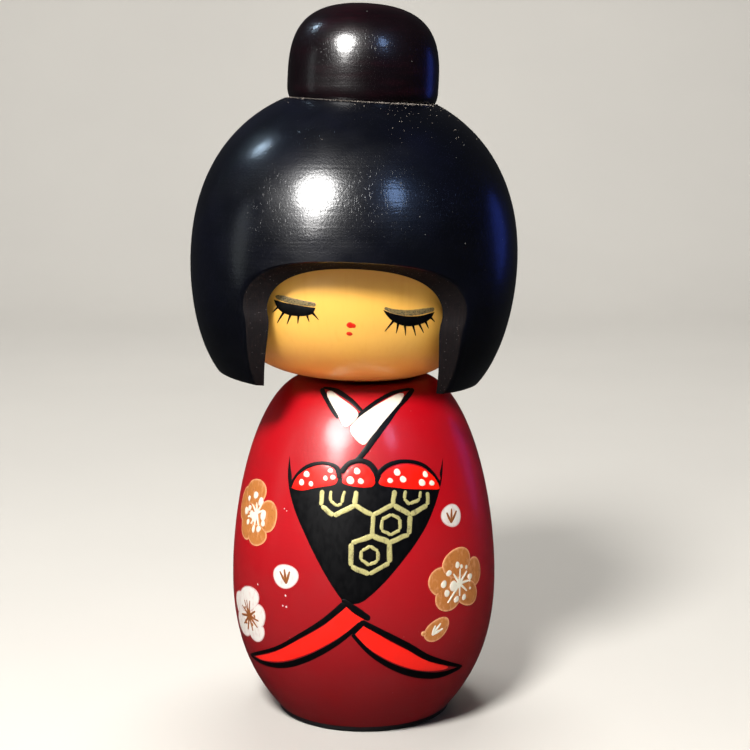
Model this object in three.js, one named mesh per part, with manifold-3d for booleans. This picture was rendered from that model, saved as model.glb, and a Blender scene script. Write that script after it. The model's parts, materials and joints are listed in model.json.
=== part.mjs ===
// A creative kokeshi doll: six turned wooden pieces on two round dowels.
//
// Millimetres, +Z up. The origin is the middle of the flat base, and the doll faces -Y.
// The head, the hair cap and the topknot share one axis of their own. That axis stands
// a little to one side of the body's axis and leans towards +X, and the head turns on it.

import * as THREE from 'three';
import Module from 'manifold-3d';
import { mergeVertices } from 'three/addons/utils/BufferGeometryUtils.js';

const wasm = await Module();
wasm.setup();

// ---------------------------------------------------------------- driving dimensions

// A point of an outline: its distance from the axis, and its height.
const point = (radius, height) => new THREE.Vector2(radius, height);

const FIT_GAP = 0.3; // clearance between pieces that touch

const BODY = {
  footRadius: 21.4, // flat face that the doll stands on
  footEdge: point(22.1, 0.6),
  creaseRadius: 22.2, // sharp edge where the painted foot band ends
  creaseHeight: 1.5,
  bellyRadius: 33.85,
  bellyHeight: 35,
  shoulderRadius: 17.4,
  shoulderHeight: 86.6,
  topRadius: 16.6, // flat top, which the head turns just above
  topHeight: 87,
  hipHandles: [point(30.1, 10.4), point(33.85, 21)], // crease to belly
  flankHandles: [point(33.85, 55.7), point(27.6, 81.6)], // belly to shoulder
};

const HEAD_AXIS = {
  offset: new THREE.Vector3(-3.9, 0, 87.5), // centre of the hair cap's rim
  lean: THREE.MathUtils.degToRad(3), // towards +X
};

// Heights in the next five blocks run along the head axis, from the hair cap's rim.

const HEAD = {
  chinRadius: 12,
  chinHeight: 0.5,
  cheekRadius: 33.5,
  cheekHeight: 21,
  templeHeight: 26, // the side is straight from the cheeks to here
  topRadius: 14,
  topHeight: 57.6,
  crownHandles: [point(33.5, 43), point(27, 57.6)], // temple to top
};

const CAP = {
  rimRadius: 33,
  rimInnerRadius: 31.4,
  widestRadius: 41.05,
  widestInnerRadius: 37,
  widestHeight: 29.5,
  ceilingRadius: 17,
  ceilingHeight: HEAD.topHeight + FIT_GAP,
  seatRadius: 19.2, // flat turned seat under the topknot
  seatHeight: 68.6,
  lockHandles: [point(37.9, 6.1), point(41.05, 17.3)], // rim to widest, outside
  crownHandles: [point(41.05, 52), point(29.6, 63.6)], // widest to seat, outside
  innerLockHandles: [point(34.4, 6), point(37, 16)], // the same two, inside
  innerCrownHandles: [point(37, 46), point(30, 57.9)],
};

// The opening in front of the face: a sawn curve, the same all the way across the cap.
// Depths run forward from the head axis.
const WINDOW = {
  rimDepth: 23.5,
  innerDepth: 30, // deepest part of the side walls, at innerHeight
  innerHeight: 18,
  fringeDepth: 41,
  fringeHeight: 32.5,
  lockHandles: [point(30.2, 14.4), point(26.3, 4)], // deepest point down to the rim
  fringeHandles: [point(33.8, 30.4), point(29.7, 23.3)], // fringe down to the deepest point
  turn: THREE.MathUtils.degToRad(2), // the opening faces a little towards +X
  clearance: 20, // how far the cutter runs past the cap
};

const KNOT = {
  footRadius: 18.1,
  footHeight: CAP.seatHeight + FIT_GAP,
  sideRadius: 18.75,
  sideStart: 72,
  sideEnd: 75,
  topHeight: 92.6,
  domeHandles: [point(18.75, 85.9), point(15, 92.6)], // side to top
};

const NECK_DOWEL = { radius: 5, low: -18, high: 18, chamfer: 0.6 };
const CROWN_DOWEL = { radius: 4, low: 46, high: 80, chamfer: 0.6 };

const SIDES = { large: 48, small: 36, dowel: 20 };
const STEPS = { short: 6, middle: 8, long: 12 }; // straight steps in a curve
const WELD_DISTANCE = 1e-4;

// ---------------------------------------------------------------- outlines and solids

// The points of a cubic curve, without its first one.
function curveTo(start, [handleA, handleB], end, steps = STEPS.middle) {
  return new THREE.CubicBezierCurve(start, handleA, handleB, end).getPoints(steps).slice(1);
}

// The points of a quarter ellipse that leaves its start level and arrives upright,
// without its first one.
function bowlTo(start, end, steps = STEPS.middle) {
  const points = [];
  for (let i = 1; i <= steps; i++) {
    const angle = (i / steps) * Math.PI / 2;
    points.push(point(
      THREE.MathUtils.lerp(start.x, end.x, Math.sin(angle)),
      THREE.MathUtils.lerp(start.y, end.y, 1 - Math.cos(angle)),
    ));
  }
  return points;
}

// Positions only, equal corners shared, and no triangle that has lost its area.
function welded(geometry) {
  const bare = geometry.clone();
  bare.deleteAttribute('normal');
  bare.deleteAttribute('uv');
  const merged = mergeVertices(bare, WELD_DISTANCE);
  const kept = [];
  const index = merged.index.array;
  for (let i = 0; i < index.length; i += 3) {
    const [a, b, c] = [index[i], index[i + 1], index[i + 2]];
    if (a !== b && b !== c && c !== a) {
      kept.push(a, b, c);
    }
  }
  merged.setIndex(kept);
  return merged;
}

// A solid of revolution about +Z. The outline runs from the bottom up its outer side.
function turned(outline, sides) {
  const lathe = new THREE.LatheGeometry(outline, sides);
  lathe.rotateX(Math.PI / 2);
  return welded(lathe);
}

function toManifold(geometry) {
  const closed = welded(geometry);
  return new wasm.Manifold(new wasm.Mesh({
    numProp: 3,
    vertProperties: Float32Array.from(closed.attributes.position.array),
    triVerts: Uint32Array.from(closed.index.array),
  }));
}

function fromManifold(solid) {
  const mesh = solid.getMesh();
  const geometry = new THREE.BufferGeometry();
  geometry.setAttribute('position', new THREE.BufferAttribute(mesh.vertProperties, 3));
  geometry.setIndex(new THREE.BufferAttribute(mesh.triVerts, 1));
  return geometry;
}

function cutAway(geometry, tool) {
  return fromManifold(toManifold(geometry).subtract(toManifold(tool)));
}

// Moves a geometry from the head axis's own frame into the doll's frame.
function ontoHeadAxis(geometry) {
  const placed = geometry.clone();
  placed.rotateY(HEAD_AXIS.lean);
  placed.translate(HEAD_AXIS.offset.x, HEAD_AXIS.offset.y, HEAD_AXIS.offset.z);
  return placed;
}

// ---------------------------------------------------------------- pieces

// A round rod with chamfered ends.
function dowel({ radius, low, high, chamfer }) {
  return turned([
    point(0, low),
    point(radius - chamfer, low),
    point(radius, low + chamfer),
    point(radius, high - chamfer),
    point(radius - chamfer, high),
    point(0, high),
  ], SIDES.dowel);
}

// The hole that a dowel sits in, as a solid to cut away.
function dowelHole({ radius, low, high }) {
  return turned([
    point(0, low - FIT_GAP),
    point(radius + FIT_GAP, low - FIT_GAP),
    point(radius + FIT_GAP, high + FIT_GAP),
    point(0, high + FIT_GAP),
  ], SIDES.dowel);
}

// Egg-shaped body with a flat foot and a flat top, bored at a slant for the neck dowel.
function makeBody() {
  const crease = point(BODY.creaseRadius, BODY.creaseHeight);
  const belly = point(BODY.bellyRadius, BODY.bellyHeight);
  const shoulder = point(BODY.shoulderRadius, BODY.shoulderHeight);
  const flank = turned([
    point(0, 0),
    point(BODY.footRadius, 0),
    BODY.footEdge,
    crease,
    ...curveTo(crease, BODY.hipHandles, belly),
    ...curveTo(belly, BODY.flankHandles, shoulder, STEPS.long),
    point(BODY.topRadius, BODY.topHeight),
    point(0, BODY.topHeight),
  ], SIDES.large);
  return cutAway(flank, ontoHeadAxis(dowelHole(NECK_DOWEL)));
}

// Rounded head block, bored at both ends. Its lower front is the face.
function makeHead() {
  const chin = point(HEAD.chinRadius, HEAD.chinHeight);
  const cheek = point(HEAD.cheekRadius, HEAD.cheekHeight);
  const temple = point(HEAD.cheekRadius, HEAD.templeHeight);
  const crown = point(HEAD.topRadius, HEAD.topHeight);
  const neckBore = NECK_DOWEL.radius + FIT_GAP;
  const crownBore = CROWN_DOWEL.radius + FIT_GAP;
  return turned([
    point(0, NECK_DOWEL.high + FIT_GAP),
    point(neckBore, NECK_DOWEL.high + FIT_GAP),
    point(neckBore, HEAD.chinHeight),
    chin,
    ...bowlTo(chin, cheek),
    temple,
    ...curveTo(temple, HEAD.crownHandles, crown),
    point(crownBore, HEAD.topHeight),
    point(crownBore, CROWN_DOWEL.low - FIT_GAP),
    point(0, CROWN_DOWEL.low - FIT_GAP),
  ], SIDES.small);
}

// The tool that saws the face opening: its side view, pushed right across the cap.
function windowCutter() {
  const side = new THREE.Shape();
  side.moveTo(WINDOW.rimDepth, -WINDOW.clearance);
  side.lineTo(WINDOW.fringeDepth + WINDOW.clearance, -WINDOW.clearance);
  side.lineTo(WINDOW.fringeDepth + WINDOW.clearance, WINDOW.fringeHeight);
  side.lineTo(WINDOW.fringeDepth, WINDOW.fringeHeight);
  const [fringeA, fringeB] = WINDOW.fringeHandles;
  const [lockA, lockB] = WINDOW.lockHandles;
  side.bezierCurveTo(fringeA.x, fringeA.y, fringeB.x, fringeB.y,
    WINDOW.innerDepth, WINDOW.innerHeight);
  side.bezierCurveTo(lockA.x, lockA.y, lockB.x, lockB.y, WINDOW.rimDepth, 0);
  const width = 2 * (CAP.widestRadius + WINDOW.clearance);
  const tool = new THREE.ExtrudeGeometry(side, {
    depth: width,
    bevelEnabled: false,
    curveSegments: STEPS.middle,
  });
  tool.translate(0, 0, -width / 2);
  const forward = new THREE.Vector3(0, -1, 0);
  const up = new THREE.Vector3(0, 0, 1);
  const across = new THREE.Vector3(-1, 0, 0);
  tool.applyMatrix4(new THREE.Matrix4().makeBasis(forward, up, across));
  return tool.rotateZ(WINDOW.turn);
}

// Hollow turned cap that stands for the hair, open below and in front of the face.
function makeHairCap() {
  const rimInner = point(CAP.rimInnerRadius, 0);
  const rimOuter = point(CAP.rimRadius, 0);
  const widest = point(CAP.widestRadius, CAP.widestHeight);
  const seat = point(CAP.seatRadius, CAP.seatHeight);
  const innerWidest = point(CAP.widestInnerRadius, CAP.widestHeight);
  const ceiling = point(CAP.ceilingRadius, CAP.ceilingHeight);
  const bore = CROWN_DOWEL.radius + FIT_GAP;
  const inside = [
    rimInner,
    ...curveTo(rimInner, CAP.innerLockHandles, innerWidest, STEPS.short),
    ...curveTo(innerWidest, CAP.innerCrownHandles, ceiling),
    point(bore, CAP.ceilingHeight),
  ];
  const shell = turned([
    rimOuter,
    ...curveTo(rimOuter, CAP.lockHandles, widest, STEPS.short),
    ...curveTo(widest, CAP.crownHandles, seat, STEPS.long),
    point(bore, CAP.seatHeight),
    ...inside.reverse(),
    rimOuter,
  ], SIDES.large);
  return cutAway(shell, windowCutter());
}

// Domed topknot, bored from below for the crown dowel.
function makeTopknot() {
  const sideEnd = point(KNOT.sideRadius, KNOT.sideEnd);
  const bore = CROWN_DOWEL.radius + FIT_GAP;
  return turned([
    point(0, CROWN_DOWEL.high + FIT_GAP),
    point(bore, CROWN_DOWEL.high + FIT_GAP),
    point(bore, KNOT.footHeight),
    point(KNOT.footRadius, KNOT.footHeight),
    point(KNOT.sideRadius, KNOT.sideStart),
    sideEnd,
    ...curveTo(sideEnd, KNOT.domeHandles, point(0, KNOT.topHeight), STEPS.long),
  ], SIDES.small);
}

// ---------------------------------------------------------------- the assembled doll

const FINISH = {
  redLacquer: { color: 0xb80f1c, roughness: 0.22, metalness: 0 },
  blackLacquer: { color: 0x0a0b14, roughness: 0.15, metalness: 0 },
  faceLacquer: { color: 0xf2c065, roughness: 0.35, metalness: 0 },
  bareWood: { color: 0xd8b98a, roughness: 0.8, metalness: 0 },
};

function piece(name, geometry, finish) {
  const mesh = new THREE.Mesh(geometry, new THREE.MeshStandardMaterial(finish));
  mesh.name = name;
  return mesh;
}

const headAxis = new THREE.Group();
headAxis.position.copy(HEAD_AXIS.offset);
headAxis.rotation.y = HEAD_AXIS.lean;
headAxis.add(
  piece('neck_dowel', dowel(NECK_DOWEL), FINISH.bareWood),
  piece('head', makeHead(), FINISH.faceLacquer),
  piece('hair_cap', makeHairCap(), FINISH.blackLacquer),
  piece('crown_dowel', dowel(CROWN_DOWEL), FINISH.bareWood),
  piece('topknot', makeTopknot(), FINISH.blackLacquer),
);

const doll = new THREE.Group();
doll.add(piece('body', makeBody(), FINISH.redLacquer), headAxis);

export default doll;
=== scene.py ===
"""A turned wooden kokeshi doll: lacquer, brushed paint in raised films, and sawn wood.

Outlines and motifs are in millimetres. The body's frame is the row frame. The head's
frame has its origin on the head's turning axis, at the hair cap's rim, and its Z along
that axis. The doll faces -Y.
"""
import bisect
import json
import math
import random

import bmesh
import bpy
from mathutils import Matrix, Vector
from mathutils.geometry import delaunay_2d_cdt


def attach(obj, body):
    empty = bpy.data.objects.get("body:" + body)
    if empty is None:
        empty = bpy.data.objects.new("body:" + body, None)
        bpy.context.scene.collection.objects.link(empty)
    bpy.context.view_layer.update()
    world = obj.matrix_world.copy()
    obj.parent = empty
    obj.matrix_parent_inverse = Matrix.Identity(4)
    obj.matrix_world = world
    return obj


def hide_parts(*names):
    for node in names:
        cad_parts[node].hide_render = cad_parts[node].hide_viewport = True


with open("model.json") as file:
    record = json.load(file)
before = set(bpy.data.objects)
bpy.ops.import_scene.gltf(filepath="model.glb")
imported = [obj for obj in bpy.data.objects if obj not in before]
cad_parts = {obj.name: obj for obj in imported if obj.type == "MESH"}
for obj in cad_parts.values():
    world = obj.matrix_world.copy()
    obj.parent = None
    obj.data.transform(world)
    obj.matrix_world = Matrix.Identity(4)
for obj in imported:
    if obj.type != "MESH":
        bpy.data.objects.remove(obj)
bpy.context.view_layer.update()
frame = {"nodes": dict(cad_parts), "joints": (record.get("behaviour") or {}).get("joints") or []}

MM = 0.001
TURN = next(joint for joint in frame["joints"] if joint["name"] == "head_turn")
HEAD_ORIGIN = Vector(TURN["pos_m"])
HEAD_AXIS = Vector(TURN["axis"]).normalized()


def body_frame():
    return Matrix.Scale(MM, 4)


def head_frame():
    """From millimetres in the head's frame to metres in the row frame."""
    ahead = Vector((0, 1, 0))
    across = ahead.cross(HEAD_AXIS).normalized()
    turn = Matrix((across, ahead, HEAD_AXIS)).transposed().to_4x4()
    return Matrix.Translation(HEAD_ORIGIN) @ turn @ Matrix.Scale(MM, 4)


# ---------------------------------------------------------------- outlines (radius, height)
# The handles of these curves and of the sawn opening were fitted by a program to edges
# found in the photograph, and rounded to a tenth.

FOOT = (21.4, 0)
FOOT_EDGE = (22.1, 0.6)
CREASE = (22.2, 1.5)  # the near-black foot band, painted shade under the overhang, ends here
BELLY = (33.85, 35)
SHOULDER = (17.4, 86.6)
BODY_TOP = (16.6, 87)

CHIN = (12, 0.5)
CHEEK = (33.5, 21)
TEMPLE = (33.5, 26)
HEAD_TOP = (14, 57.6)

CAP_RIM = (33, 0)
CAP_WIDEST = (41.05, 29.5)
CAP_SEAT = (19.2, 68.6)
CAP_RIM_INSIDE = (31.4, 0)
CAP_WIDEST_INSIDE = (37, 29.5)
CAP_CEILING = (17, 57.9)

KNOT_FOOT = (18.1, 68.9)
KNOT_SIDE_LOW = (18.75, 72)
KNOT_SIDE_HIGH = (18.75, 75)
KNOT_TOP = (0, 92.6)

NECK_BORE = 5.3
NECK_BORE_ENDS = (-18.3, 18.3)
CROWN_BORE = 4.3
CROWN_BORE_ENDS = (45.7, 80.3)

FINE = 44  # steps in a long curve
COARSE = 20  # steps in a short one


def cubic(start, handle_a, handle_b, end, steps):
    """Points of a cubic curve, without its first."""
    points = []
    for i in range(1, steps + 1):
        t = i / steps
        s = 1 - t
        weights = (s ** 3, 3 * s * s * t, 3 * s * t * t, t ** 3)
        corners = (start, handle_a, handle_b, end)
        points.append(tuple(sum(w * c[k] for w, c in zip(weights, corners)) for k in (0, 1)))
    return points


def bowl(start, end, steps):
    """Points of a quarter ellipse that leaves level and arrives upright, without its first."""
    points = []
    for i in range(1, steps + 1):
        angle = i / steps * math.pi / 2
        points.append((start[0] + (end[0] - start[0]) * math.sin(angle),
                       start[1] + (end[1] - start[1]) * (1 - math.cos(angle))))
    return points


def body_flank():
    return [FOOT, FOOT_EDGE, CREASE,
            *cubic(CREASE, (30.1, 10.4), (BELLY[0], 21), BELLY, FINE),
            *cubic(BELLY, (BELLY[0], 55.7), (27.6, 81.6), SHOULDER, FINE),
            BODY_TOP]


def head_flank():
    return [CHIN,
            *bowl(CHIN, CHEEK, FINE),
            TEMPLE,
            *cubic(TEMPLE, (TEMPLE[0], 43), (27, HEAD_TOP[1]), HEAD_TOP, COARSE)]


def cap_outside():
    return [CAP_RIM,
            *cubic(CAP_RIM, (37.9, 6.1), (CAP_WIDEST[0], 17.3), CAP_WIDEST, FINE),
            *cubic(CAP_WIDEST, (CAP_WIDEST[0], 52), (29.6, 63.6), CAP_SEAT, 2 * FINE)]


def cap_inside():
    top = CAP_CEILING[1]
    return [CAP_RIM_INSIDE,
            *cubic(CAP_RIM_INSIDE, (34.4, 6), (CAP_WIDEST_INSIDE[0], 16), CAP_WIDEST_INSIDE, FINE),
            *cubic(CAP_WIDEST_INSIDE, (CAP_WIDEST_INSIDE[0], 46), (30, top), CAP_CEILING, 2 * FINE)]


def knot_flank():
    return [KNOT_FOOT,
            *cubic(KNOT_FOOT, (18.6, 69.8), (KNOT_SIDE_LOW[0], 70.9), KNOT_SIDE_LOW, COARSE),
            KNOT_SIDE_HIGH,
            *cubic(KNOT_SIDE_HIGH, (KNOT_SIDE_HIGH[0], 85.9), (15, KNOT_TOP[1]), KNOT_TOP, FINE)]


# ---------------------------------------------------------------- turned surfaces


def at_angle(radius, angle, height):
    """The point at an angle from the front, which grows towards +X."""
    return Vector((radius * math.sin(angle), -radius * math.cos(angle), height))


def angle_of(vertex):
    return math.atan2(vertex.co.x, -vertex.co.y)


class Turned:
    """The outside of a turned piece. Paint is placed on it by wrapped points.

    A wrapped point is (distance round the widest circle, height); distance 0 is the
    front, and it grows towards +X.
    """

    def __init__(self, flank, to_row):
        self.flank = flank
        self.heights = [height for _, height in flank]
        self.to_row = to_row
        self.girth = max(radius for radius, _ in flank)

    def section(self, height):
        """Radius at a height, and the outward normal there as (radial, upward)."""
        i = min(max(bisect.bisect(self.heights, height), 1), len(self.flank) - 1)
        (low_radius, low), (high_radius, high) = self.flank[i - 1], self.flank[i]
        share = (height - low) / (high - low)
        normal = Vector((high - low, low_radius - high_radius)).normalized()
        return low_radius + share * (high_radius - low_radius), normal

    def at(self, point, lift=0.0):
        """The place of a wrapped point, raised off the surface by lift."""
        radius, normal = self.section(point[1])
        angle = point[0] / self.girth
        return at_angle(radius + lift * normal[0], angle, point[1] + lift * normal[1])

    def normal(self, point):
        _, normal = self.section(point[1])
        angle = point[0] / self.girth
        return at_angle(normal[0], angle, normal[1])

    def seen(self, x, height):
        """The wrapped point that a viewer straight ahead sees at x across."""
        radius, _ = self.section(height)
        return Vector((math.asin(max(-1.0, min(1.0, x / radius))) * self.girth, height))

    def seen_all(self, points):
        return [self.seen(x, height) for x, height in points]

    def beside(self, centre, along, up):
        """The wrapped point that lies along and up from another, measured on the surface."""
        radius, _ = self.section(centre[1] + up)
        return Vector((centre[0] + along * self.girth / radius, centre[1] + up))

    def from_angle(self, degrees, height):
        return Vector((math.radians(degrees) * self.girth, height))


ON_BODY = Turned(body_flank(), body_frame())
ON_HEAD = Turned(head_flank(), head_frame())
ON_HAIR = Turned(cap_outside(), head_frame())


# ---------------------------------------------------------------- meshes

SHARP = math.radians(32)
PAINT_SHARP = math.radians(60)
CRUMB_SHARP = math.radians(20)


def to_object(name, bm, to_row, materials, sharp=SHARP):
    """Makes a closed, smooth-shaded object of a bmesh given in millimetres."""
    bmesh.ops.recalc_face_normals(bm, faces=bm.faces)
    bm.transform(to_row)
    mesh = bpy.data.meshes.new(name)
    bm.to_mesh(mesh)
    bm.free()
    mesh.shade_smooth()
    mesh.set_sharp_from_angle(angle=sharp)
    for material in materials:
        mesh.materials.append(material)
    piece = bpy.data.objects.new(name, mesh)
    bpy.context.scene.collection.objects.link(piece)
    return piece


def lathe(bm, outline, sides, material_at=None):
    """Adds a solid of revolution. The outline starts and ends on the axis."""
    rings = []
    for radius, height in outline:
        if radius < 1e-6:
            rings.append([bm.verts.new((0, 0, height))])
            continue
        turns = [2 * math.pi * k / sides for k in range(sides)]
        rings.append([bm.verts.new((radius * math.cos(a), radius * math.sin(a), height)) for a in turns])
    for number, (low, high) in enumerate(zip(rings, rings[1:])):
        for k in range(sides):
            corners = [low[k % len(low)], low[(k + 1) % len(low)],
                       high[(k + 1) % len(high)], high[k % len(high)]]
            distinct = list(dict.fromkeys(corners))
            if len(distinct) > 2:
                face = bm.faces.new(distinct)
                if material_at:
                    face.material_index = material_at(number)


BODY_SIDES = 216
KNOT_SIDES = 144
BORE_SIDES = 48
SLIVER = 1e-6  # metres; the cut may leave edges shorter than this


def make_body(lacquer, band):
    """The body, its foot band painted near-black as shade under the overhang, and the slanted bore for the
    neck dowel.
    """
    bm = bmesh.new()
    flank = body_flank()
    crease_number = flank.index(CREASE)
    outline = [(0, 0), *flank, (0, BODY_TOP[1])]
    lathe(bm, outline, BODY_SIDES, lambda number: 1 if number <= crease_number else 0)
    body = to_object("body_lacquer", bm, body_frame(), [lacquer, band])
    cutter = bmesh.new()
    low, high = NECK_BORE_ENDS
    lathe(cutter, [(0, low), (NECK_BORE, low), (NECK_BORE, high), (0, high)], BORE_SIDES)
    bore = to_object("bore_cutter", cutter, head_frame(), [])
    cut_away(body, bore)
    return body


def cut_away(piece, tool):
    """Subtracts the tool from the piece for good, and deletes the tool."""
    cut = piece.modifiers.new("bore", "BOOLEAN")
    cut.operation = "DIFFERENCE"
    cut.solver = "EXACT"
    cut.object = tool
    shapes = bpy.context.evaluated_depsgraph_get()
    mesh = bpy.data.meshes.new_from_object(piece.evaluated_get(shapes), depsgraph=shapes)
    piece.modifiers.clear()
    clean = bmesh.new()
    clean.from_mesh(mesh)
    bmesh.ops.dissolve_degenerate(clean, dist=SLIVER, edges=clean.edges)
    clean.to_mesh(mesh)
    clean.free()
    piece.data = mesh
    mesh.set_sharp_from_angle(angle=SHARP)
    bpy.data.objects.remove(tool)


def make_head(skin):
    """The rounded head block with a bore at each end."""
    bm = bmesh.new()
    low, high = CROWN_BORE_ENDS[0], NECK_BORE_ENDS[1]
    outline = [(0, high), (NECK_BORE, high), (NECK_BORE, CHIN[1]), *head_flank(),
               (CROWN_BORE, HEAD_TOP[1]), (CROWN_BORE, low), (0, low)]
    lathe(bm, outline, BODY_SIDES)
    return to_object("head_block", bm, head_frame(), [skin])


def make_topknot(lacquer):
    """The domed knot of hair, bored from below."""
    bm = bmesh.new()
    top = CROWN_BORE_ENDS[1]
    outline = [(0, top), (CROWN_BORE, top), (CROWN_BORE, KNOT_FOOT[1]), *knot_flank()]
    lathe(bm, outline, KNOT_SIDES)
    return to_object("topknot_turned", bm, head_frame(), [lacquer])


# ---------------------------------------------------------------- hair cap
# The sawn opening is one curve seen from the side, the same all the way across. The
# shell's grid follows that cut, so that the fringe and the side locks end in clean lines.

WINDOW_RIM = (23.5, 0)  # depth ahead of the axis, height
WINDOW_DEEP = (30, 18)
WINDOW_FRINGE = (41, 32.5)
WINDOW_TURN = math.radians(2)  # the opening faces a little towards +X
LIP = 0.35  # worn corner between the lacquer and the sawn face

BACK_COLUMNS = 176
LOCK_RINGS = 26  # rings beside the opening
ARCH_STEPS = 52  # half of the fringe
CROWN_RINGS = 56
SAWN_STEPS = 7
LOCK_HEIGHT = 22  # above this the cut turns inward to the fringe


def window_profile():
    lower = cubic(WINDOW_RIM, (26.3, 4), (30.2, 14.4), WINDOW_DEEP, FINE)
    upper = cubic(WINDOW_DEEP, (29.7, 23.3), (33.8, 30.4), WINDOW_FRINGE, FINE)
    return [WINDOW_RIM, *lower, *upper, (WINDOW_FRINGE[0] + 10, WINDOW_FRINGE[1] + 2.5)]


WINDOW = window_profile()
WINDOW_HEIGHTS = [height for _, height in WINDOW]


def window_depth(height):
    """How far ahead of the axis the sawn face stands at a height."""
    i = min(max(bisect.bisect(WINDOW_HEIGHTS, height), 1), len(WINDOW) - 1)
    (near, low), (far, high) = WINDOW[i - 1], WINDOW[i]
    return near + (far - near) * (height - low) / (high - low)


class Skin:
    """One side of the hair shell: its outline by length, and where the opening cuts it."""

    def __init__(self, outline, inset=0.0, setback=0.0):
        self.points = outline
        self.lengths = [0.0]
        for (r0, h0), (r1, h1) in zip(outline, outline[1:]):
            self.lengths.append(self.lengths[-1] + math.hypot(r1 - r0, h1 - h0))
        self.inset = inset
        self.setback = setback

    def place(self, length):
        """(radius, height) at a length along the outline."""
        i = min(max(bisect.bisect(self.lengths, length), 1), len(self.points) - 1)
        start, end = self.lengths[i - 1], self.lengths[i]
        share = (length - start) / (end - start)
        (r0, h0), (r1, h1) = self.points[i - 1], self.points[i]
        return r0 + share * (r1 - r0) - self.inset, h0 + share * (h1 - h0)

    def opening(self, length):
        """Angle from the front to the cut, or 0 above the fringe."""
        radius, height = self.place(length)
        return math.acos(min(1.0, (window_depth(height) - self.setback) / radius))

    def length_at(self, height):
        return self.solve(lambda length: self.place(length)[1] < height)

    def fringe_length(self):
        def beside_opening(length):
            radius, height = self.place(length)
            return window_depth(height) - self.setback < radius
        return self.solve(beside_opening)

    def solve(self, below):
        """The length where below turns false."""
        low, high = 0.0, self.lengths[-1]
        for _ in range(50):
            middle = (low + high) / 2
            if below(middle):
                low = middle
            else:
                high = middle
        return low


def lock_lengths(skin, start):
    """Lengths of the cut's samples beside the opening, then along half of the fringe."""
    corner, fringe = skin.length_at(LOCK_HEIGHT), skin.fringe_length()
    beside = [start + (corner - start) * j / LOCK_RINGS for j in range(LOCK_RINGS)]
    arch = [fringe - (fringe - corner) * (1 - i / ARCH_STEPS) ** 2 for i in range(ARCH_STEPS + 1)]
    return beside, arch


def skin_point(skin, length, angle):
    radius, height = skin.place(length)
    return at_angle(radius, angle, height)


def grid_faces(bm, rows, material=0, closed=False, material_at=None):
    """Joins neighbouring rows of vertices with quads. material_at gives one by column."""
    for low, high in zip(rows, rows[1:]):
        last = len(low) if closed else len(low) - 1
        for k in range(last):
            n = (k + 1) % len(low)
            face = bm.faces.new((low[k], low[n], high[n], high[k]))
            face.material_index = material_at(n) if material_at else material


def make_skin(bm, skin, start, material):
    """Adds one side of the shell. Returns its boundary loop and its highest ring.

    The loop runs up beside the right lock, over the fringe, down the left lock, and
    back along the rim.
    """
    beside, arch = lock_lengths(skin, start)
    back_share = [k / BACK_COLUMNS for k in range(BACK_COLUMNS + 1)]

    def back_ring(length):
        cut = skin.opening(length)
        angles = [cut + (2 * math.pi - 2 * cut) * share for share in back_share]
        return [bm.verts.new(skin_point(skin, length, angle)) for angle in angles]

    lower = [back_ring(length) for length in beside]
    corner, top = arch[0], skin.lengths[-1]
    cut = skin.opening(corner)
    columns = [(cut + (2 * math.pi - 2 * cut) * share, corner) for share in back_share]
    half = [(skin.opening(length), length) for length in arch[1:-1]]
    columns += [(-angle, length) for angle, length in half]
    columns.append((0.0, arch[-1]))
    columns += list(reversed(half))
    crown = []
    for k in range(CROWN_RINGS + 1):
        share = k / CROWN_RINGS
        crown.append([bm.verts.new(skin_point(skin, low + (top - low) * share, angle))
                      for angle, low in columns])
    grid_faces(bm, lower + [crown[0][:BACK_COLUMNS + 1]], material)
    grid_faces(bm, crown, material, closed=True)
    over_fringe = [crown[0][0], *reversed(crown[0][BACK_COLUMNS + 1:]), crown[0][BACK_COLUMNS]]
    right_lock = [ring[0] for ring in lower]
    left_lock = [ring[-1] for ring in reversed(lower)]
    rim = list(reversed(lower[0][1:-1]))
    return right_lock + over_fringe + left_lock + rim, crown[-1]


def sawn_samples(skin):
    """(x, height) of the cut's samples, in the boundary loop's order, without the rim."""
    beside, arch = lock_lengths(skin, 0.0)
    right = []
    for length in beside + arch[:-1]:
        radius, height = skin.place(length)
        right.append((radius * math.sin(skin.opening(length)), height))
    middle = [(0.0, skin.place(arch[-1])[1])]
    return right + middle + [(-x, height) for x, height in reversed(right)]


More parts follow.
